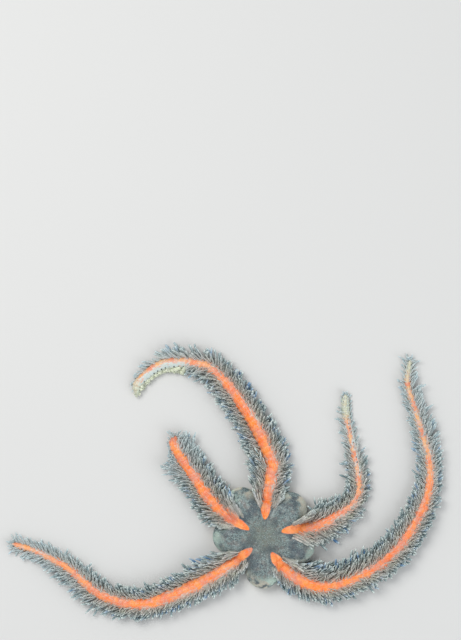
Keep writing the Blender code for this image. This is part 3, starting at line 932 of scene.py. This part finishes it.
# Painted shade: the lower third of each spine is darkened, most on the inner half of the arm, for the shade
# between crowded spines.
painted_root_shade = product(between(mark["shaft"], 0.0, 0.35, 0.15, 0.0), between(mark["tipward"], 0.2, 1.0, 1.0, 0.2))
spine_colour = layered(
    beige,
    (between(mark["outward"], 0.42, 0.85), steel),
    (whitened, (0.66, 0.73, 0.69)),
    (product(mark["tipward"], 0.65), (0.50, 0.62, 0.65)),
    # painted shade at the spines' roots
    (painted_root_shade, (0.10, 0.095, 0.09)),
    (mark["stub"], (0.60, 0.64, 0.48)),
    (between(noise(tree, 2600), 0.5, 0.72, 0.0, 0.35), (0.64, 0.66, 0.60)),
    (between(noise(tree, 1500), 0.54, 0.7, 0.0, 0.25), (0.18, 0.20, 0.18)),
)
socketed(
    shader, Base_Color=spine_colour, Roughness=0.32, IOR=1.45, Subsurface_Weight=0.55,
    Subsurface_Radius=(1.0, 1.0, 1.0), Subsurface_Scale=0.35 * MM, Coat_Weight=0.2, Coat_Roughness=0.15,
)
bump(shader, noise(tree, 9000, 2.0), 0.02 * MM)


def disc_surface(x, y):
    """The height of the disc's upper side over a place, or 0 past its edge."""
    x, y = x - MIDDLE[0], y - MIDDLE[1]
    turn = np.array([math.atan2(y, x)])
    spread = math.hypot(x, y) / disc_edge(turn)[0]
    return disc_height(turn, np.array([spread]))[0] if spread < 1 else 0.0


for number, (name, arm) in enumerate(ARMS.items()):
    line = lines[name]
    grown = []
    for side, side_lengths in ((-1, arm["right_spines"]), (1, arm["left_spines"])):
        clump_edges = [0.0]
        while clump_edges[-1] < len(line.joints):
            clump_edges.append(clump_edges[-1] + draw.uniform(0.6, 1.4) * CLUMP_SEGMENTS)
        clump_middles = (np.array(clump_edges[:-1]) + np.array(clump_edges[1:])) / 2
        stands = [(segment, row_set) for segment in range(len(line.joints) - 1) for row_set in ROW_SETS]
        for segment, row_set in stands:
            near, far = line.joints[segment:segment + 2]
            distance = near + row_set["place"] * (far - near)
            if distance < FIRST_SPINES or distance > line.length - LAST_SPINES:
                continue
            share = distance / line.length
            half_width = line.half_width(distance)
            length = along(side_lengths, share) * MM * row_set["length"]
            bare = length < BARE_BELOW and name == "top" and side == 1
            sparse = name == "top" and side == -1 and share > SPARSE_FROM
            rows = int(round(along(arm["rows"], share))) - row_set["fewer"] - sparse
            if rows < 3 and row_set["fewer"] or rows < 6 and row_set["lowest"] or rows < 2:
                continue
            near_disc = np.clip((NEAR_DISC[1] - distance) / (NEAR_DISC[1] - NEAR_DISC[0]), 0, 1)
            to_clumps = clump_middles - segment - row_set["place"]
            to_clump = to_clumps[np.argmin(np.abs(to_clumps))] * (far - near)
            pull = CLUMP_PULL * (1 - near_disc) * (1 - 0.7 * sparse) * math.atan(to_clump / max(length, MM))
            place, ahead, left = line.read_one(distance)
            stripe_edge = (along(arm["stripe"], share) + side * along(arm["drift"], share)) * MM / half_width
            stripe_turn = math.degrees(math.acos(np.clip(stripe_edge, 0.1, 0.95) ** 1.18))
            steepest = np.clip(stripe_turn + 2 - 8 * near_disc, *STEEPEST)
            for row in range(rows):
                level = (row + row_set["shift"]) / (rows - 1)
                stub = bare and level < STUB_LEVEL
                if level < row_set["lowest"] or bare and (not stub or row_set["fewer"]):
                    continue
                if level < 0.5 and not stub and draw.uniform(0, 1) < THINNED:
                    continue
                turn_up = -LOWEST_TURN + (LOWEST_TURN + steepest) * min(level, 1)
                turn_up = math.radians(turn_up + draw.normal(0, 7 if level > 0.8 else 4))
                across, up = arm_section(np.array([turn_up]), np.array([row_set["place"]]))
                root = np.array([*place, up[0] * half_width * ARM_HEIGHT])
                root[:2] += left * side * across[0] * half_width * (1 - 0.12 * ramp(near_disc, 0.3, 1.0))
                root[:2] += ahead * draw.normal(0, ROOT_SCATTER)
                root[2] = max(root[2], disc_surface(*root[:2]) - ROOT_SINK)
                rise = math.radians(2 + 42 * level + draw.normal(0, 7))
                lean = along(LEAN, share) + HUG * near_disc + 5 * sparse + draw.normal(0, 12 - 6 * near_disc)
                lean = math.radians(lean) + pull
                size = length * np.interp(level, LEVELS, LENGTH_AT_LEVELS)
                size *= np.clip(1 + draw.normal(0, 0.19), 0.55, 1.4) * (1 - 0.25 * ramp(near_disc, 0.2, 1.0))
                rise = min(rise, math.asin(min(0.95, max(0.05, (HIGHEST - root[2]) / size))))
                rise = max(rise, math.asin(min(0.95, max(-0.9, (LOWEST_TIP - root[2]) / size))))
                outward = np.array([*(left * side * math.cos(rise)), math.sin(rise)])
                direction = outward * math.cos(lean) + np.array([*ahead, 0]) * math.sin(lean)
                girth = np.interp(level, LEVELS, GIRTH_AT_LEVELS) * draw.uniform(0.8, 1.2)
                girth *= STUB_GIRTH if stub else np.interp(share, *GIRTH_ALONG)
                root_out = across[0] * half_width
                tip_out = root_out + size * math.cos(rise) * math.cos(lean)
                grown.append((
                    root,
                    direction / np.linalg.norm(direction),
                    size,
                    (*(ahead * draw.normal(0.03, 0.07)), draw.normal(0, 0.02)),
                    girth * row_set["girth"] * (SPARSE_GIRTH if sparse else 1.0),
                    (root_out / (half_width + length), tip_out / (half_width + length)),
                    draw.uniform(0, 1),
                    stub,
                    ramp(share, 0.5, 0.95),
                    arm_home(number, distance, side * (0.08 + 0.38 * (1 - level))),
                ))
    place, ahead, left = line.read_one(line.length - 0.5 * MM)
    half_width = line.half_width(line.length)
    for step in range(END_SPINES):
        swing = math.radians(draw.uniform(-75, 75))
        rise = math.radians(draw.uniform(0, 45))
        size = draw.uniform(*arm["end_spines"]) * MM * (1 - 0.3 * abs(swing))
        flat_way = ahead * math.cos(swing) + left * math.sin(swing)
        grown.append((
            (*(place + flat_way * half_width * 0.5), half_width * draw.uniform(0.4, 1.1)),
            (*(flat_way * math.cos(rise)), math.sin(rise)),
            size,
            (*(left * draw.normal(0, 0.1)), 0.0),
            draw.uniform(0.55, 0.75),
            (0.3, 1.0),
            draw.uniform(0, 1),
            name == "top",
            1.0,
            arm_home(number, line.length, swing * 0.3),
        ))
    *build, outward, tone, stub, tipward, homes = map(np.array, zip(*grown))
    points = rods(*build)
    points[..., 2] = np.clip(points[..., 2], LOWEST, HIGHEST + SPINE_POINT)
    spines, shafts = joined_rods("spines_" + name, points, SPINE_STEPS, SPINE_SIDES, homes)
    for attribute, values in (("tone", tone), ("stub", stub), ("tipward", tipward)):
        add_attribute(spines, attribute, np.repeat(values, len(shafts)))
    root_out, tip_out = outward.T[..., None]
    add_attribute(spines, "outward", (root_out + (tip_out - root_out) * shafts).ravel())
    spines.data.materials.append(glass)
    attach(spines, "root")


# The grains of the disc: short blunt calcite stumps that stand close together in its soft skin. They are left
# out over the orange stripes. One grain is modelled and a joined mesh holds all its copies.
GRAIN_COUNT = 9000
GRAIN_SIZES = (0.03 * MM, 0.075 * MM)
GRAIN_STRETCH = (1.0, 1.0, 1.25)
GRAIN_SINK = 0.45
CLEAR_OF_STRIPES = ((1.15 * MM, 2.6 * MM), (1.7 * MM, 5.6 * MM))

bpy.ops.object.select_all(action="DESELECT")
bpy.ops.mesh.primitive_ico_sphere_add(subdivisions=1, radius=1.0)
one_grain = bpy.context.object
grain_points = points_of(one_grain) * GRAIN_STRETCH
grain_faces = np.array([tuple(face.vertices) for face in one_grain.data.polygons])
bpy.data.objects.remove(one_grain)

draw = np.random.default_rng(SEED + 1)
turn = draw.uniform(-math.pi, math.pi, GRAIN_COUNT * 3)
spread = np.sqrt(draw.uniform(0.0, 0.995, GRAIN_COUNT * 3))
places = np.column_stack([np.cos(turn), np.sin(turn)]) * (disc_edge(turn) * spread)[:, None] + MIDDLE
arm_number, run, leftward = nearest_on_arms(places)
keep = np.all([(np.abs(leftward) > beside) | (run < start) for beside, start in CLEAR_OF_STRIPES], axis=0)
places, turn, spread = (values[keep][:GRAIN_COUNT] for values in (places, turn, spread))
heights = disc_height(turn, spread)
sizes = GRAIN_SIZES[0] + (GRAIN_SIZES[1] - GRAIN_SIZES[0]) * draw.uniform(0, 1, len(places)) ** 1.8
points = grain_points[None] * sizes[:, None, None]
points += np.column_stack([places, heights - GRAIN_SINK * sizes])[:, None]
grains = smooth_mesh("disc_grains", points.reshape(-1, 3), copied_faces(grain_faces, *points.shape[:2]))
add_attribute(grains, "tone", np.repeat(draw.uniform(0, 1, len(places)), len(grain_points)))
add_attribute(grains, "rim", np.repeat(ramp(spread, 0.74, 0.94) * rim_share(turn), len(grain_points)))
add_map(grains, np.column_stack([turn / math.tau + 0.5, spread * 0.95]), (grain_points[:, :2] + 1) / 2)
calcite, tree, shader = new_material("disc_grains")
tone = read(tree, "tone")
pale_rim = product(read(tree, "rim"), between(noise(tree, 480), 0.38, 0.52, 0.0, 0.8))
grain_colour = layered(
    blend(between(tone, 0.0, 0.5), (0.045, 0.07, 0.08), (0.23, 0.30, 0.29)),
    (between(tone, 0.55, 0.62), (0.22, 0.16, 0.14)),
    (between(tone, 0.74, 0.80), (0.30, 0.37, 0.38)),
    (between(tone, 0.95, 0.975), (0.64, 0.72, 0.70)),
    (between(noise(tree, 420, 2.0), 0.5, 0.62, 0.0, 0.6), (0.035, 0.06, 0.08)),
    (between(noise(tree, 3800), 0.4, 0.6, 0.0, 0.35), (0.12, 0.14, 0.13)),
    (pale_rim, (0.54, 0.64, 0.55)),
)
socketed(shader, Base_Color=grain_colour, Roughness=0.42, Coat_Weight=0.2, Coat_Roughness=0.2)
bump(shader, noise(tree, 9000, 2.0), 0.01 * MM)
grains.data.materials.append(calcite)
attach(grains, "root")


# The mouth frame: five calcite jaws that point in from between the arms, each in two halves with a stack of
# blunt yellow teeth at its tip, a pair of narrow plates beside it and a rounded shield behind it. All of them
# lie in the pale pavement of the underside and stand barely proud of it.
PLATE_LOW = 0.04 * MM
PLATE_HIGH = 0.60 * MM
PLATE_ROUNDING = 0.09 * MM
JAW_TIP = 0.56 * MM
MOUTH_PLATES = {
    "half_jaw": {
        "span": (JAW_TIP, 1.95 * MM), "half_widths": (0.10 * MM, 0.27 * MM), "off": (0.11 * MM, 0.30 * MM),
    },
    "adoral_plate": {
        "span": (1.6 * MM, 2.85 * MM), "half_widths": (0.14 * MM, 0.30 * MM), "off": (0.60 * MM, 1.12 * MM),
    },
}
SHIELD_PLACE = 2.9 * MM
SHIELD_SIZE = (0.72 * MM, 0.66 * MM, 0.035 * MM)
SHIELD_TAPER = 0.25
TOOTH_SIZE = 0.085 * MM
TOOTH_STRETCH = (1.6, 0.9, 0.9)
TEETH_ACROSS = 3
TEETH_ROWS = 3
LOWEST_TEETH = PLATE_LOW + 0.10 * MM


def turned(obj, turn):
    """Turns a piece's mesh about the disc's middle, from where it was made about the origin."""
    x, y, z = points_of(obj).T
    c, s = math.cos(turn), math.sin(turn)
    move_points(obj, np.column_stack([MIDDLE[0] + c * x - s * y, MIDDLE[1] + s * x + c * y, z]))
    return obj


def rounded_plate(name, span, half_widths, off, side):
    """A round-edged wedge along +X between two distances, narrow at its near end and off to one side."""
    bpy.ops.object.select_all(action="DESELECT")
    bpy.ops.mesh.primitive_cube_add(size=1.0)
    block = bpy.context.object
    block.name = name
    points = points_of(block)
    share = points[:, 0] + 0.5
    half = half_widths[0] + (half_widths[1] - half_widths[0]) * share
    middle = side * (off[0] + (off[1] - off[0]) * share)
    points = np.column_stack([
        span[0] + (span[1] - span[0]) * share,
        middle + np.sign(points[:, 1]) * half,
        PLATE_LOW + (PLATE_HIGH - PLATE_LOW) * (points[:, 2] + 0.5),
    ])
    move_points(block, points)
    bevel = block.modifiers.new("edges", "BEVEL")
    bevel.width = PLATE_ROUNDING
    bevel.segments = 4
    bpy.ops.object.modifier_apply(modifier="edges")
    return block


def pressed_ball(segments, rings, radius, stretch, taper, place):
    """A ball stretched in its three directions, narrowed towards +X and set at a place."""
    bpy.ops.mesh.primitive_uv_sphere_add(segments=segments, ring_count=rings, radius=radius)
    ball = bpy.context.object
    points = points_of(ball) * stretch
    points[:, 1] *= 1 - taper * points[:, 0] / stretch[0]
    move_points(ball, points + place)
    return ball


pieces = []
for degrees in LOBES:
    jaw_turn = math.radians(degrees)
    for side in (-1, 1):
        for name, sizes in MOUTH_PLATES.items():
            pieces.append(turned(rounded_plate(name, side=side, **sizes), jaw_turn))
    shield = pressed_ball(28, 16, 1.0, SHIELD_SIZE, SHIELD_TAPER, (SHIELD_PLACE, 0, PAVEMENT_HEIGHT))
    pieces.append(turned(shield, jaw_turn))
    for row in range(TEETH_ROWS):
        for column in range(TEETH_ACROSS):
            tooth_side = (column - (TEETH_ACROSS - 1) / 2) * 1.7 * TOOTH_SIZE
            place = (JAW_TIP, tooth_side, LOWEST_TEETH + row * 2.4 * TOOTH_SIZE)
            tooth = pressed_ball(10, 8, TOOTH_SIZE, TOOTH_STRETCH, 0.0, place)
            pieces.append(turned(tooth, jaw_turn))
bpy.ops.object.select_all(action="DESELECT")
for piece in pieces:
    piece.select_set(True)
bpy.context.view_layer.objects.active = pieces[0]
bpy.ops.object.join()
mouth = bpy.context.object
mouth.name = mouth.data.name = "mouth_frame"
bpy.ops.object.shade_smooth_by_angle(angle=math.radians(50))
add_attribute(mouth, "radius", round_middle(points_of(mouth))[1] / MM)
bone, tree, shader = new_material("mouth_calcite")
radius = read(tree, "radius")
bone_colour = layered(
    blend(between(noise(tree, 3600, 4.0, 0.6), 0.35, 0.65), (0.76, 0.76, 0.63), (0.88, 0.88, 0.78)),
    (between(radius, 2.2, 2.8, 0.0, 0.25), (0.76, 0.80, 0.80)),
    (between(radius, 0.70, 1.0, 0.75, 0.0), (0.72, 0.60, 0.24)),
)
socketed(shader, Base_Color=bone_colour, Roughness=0.48, Coat_Weight=0.15, Coat_Roughness=0.3)
bump(shader, noise(tree, 5200, 4.0, 0.6), 0.03 * MM)
mouth.data.materials.clear()
mouth.data.materials.append(bone)
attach(mouth, "root")
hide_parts("jaws")


# The tube feet: two soft, tapered feelers under each segment, one on each side of its ventral plate. Each
# comes out of a brown pore and lies flat against the sole.
FOOT_SIDES = 7
FOOT_STEPS = np.array((0.0, 0.3, 0.6, 0.85, 1.0))
FOOT_RADII = np.array((0.085, 0.08, 0.07, 0.055, 0.025)) * MM
FOOT_LENGTH = 0.2 * MM
FOOT_POINT = 0.03 * MM
FOOT_HEIGHT = 0.17 * MM
FIRST_FEET = 3.4 * MM
LAST_FEET = 1.5 * MM

draw = np.random.default_rng(SEED + 2)
turns = np.linspace(0, math.tau, FOOT_SIDES, endpoint=False)[:, None]
feet, tones, homes = [], [], []
for number, line in enumerate(lines.values()):
    for near, far in zip(line.joints[:-1], line.joints[1:]):
        distance = near + PORE_PLACE * (far - near)
        if distance < FIRST_FEET or distance > line.length - LAST_FEET:
            continue
        half_width = line.half_width(distance)
        place, ahead, left = line.read_one(distance)
        size = np.interp(half_width, (0.5 * MM, 1.6 * MM), (0.5, 1.0))
        for side in (-1, 1):
            root = np.array([*(place + left * side * PORE_LINE * half_width), FOOT_HEIGHT])
            way = np.array([*(left * side * 0.8 + ahead * draw.normal(0.1, 0.25)), -0.15])
            way /= np.linalg.norm(way)
            cross = np.cross(way, (0, 0, 1.0))
            cross /= np.linalg.norm(cross)
            ring = np.cos(turns) * cross + np.sin(turns) * np.cross(way, cross)
            rings = [
                root + way * step * FOOT_LENGTH * size + radius * size * ring
                for step, radius in zip(FOOT_STEPS, FOOT_RADII)
            ]
            feet.append(np.vstack([*rings, (root + way * (FOOT_LENGTH + FOOT_POINT) * size)[None]]))
            tones.append(draw.uniform(0, 1))
            homes.append(arm_home(number, distance, side * 0.04))
points = np.array(feet)
points[..., 2] = np.maximum(points[..., 2], LOWEST)
tube_feet, shafts = joined_rods("tube_feet", points, FOOT_STEPS, FOOT_SIDES, homes)
add_attribute(tube_feet, "tone", np.repeat(tones, len(shafts)))
soft, tree, shader = new_material("tube_foot_skin")
foot_colour = layered(
    blend(read(tree, "tone"), (0.20, 0.11, 0.06), (0.34, 0.22, 0.12)),
    (between(read(tree, "shaft"), 0.0, 0.4, 0.8, 0.0), (0.09, 0.05, 0.03)),
    (between(noise(tree, 5000), 0.45, 0.65, 0.0, 0.4), (0.44, 0.32, 0.20)),
)
socketed(
    shader, Base_Color=foot_colour, Roughness=0.35, Subsurface_Weight=0.2, Subsurface_Scale=0.2 * MM,
)
bump(shader, noise(tree, 9000, 2.0), 0.015 * MM)
tube_feet.data.materials.append(soft)
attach(tube_feet, "root")
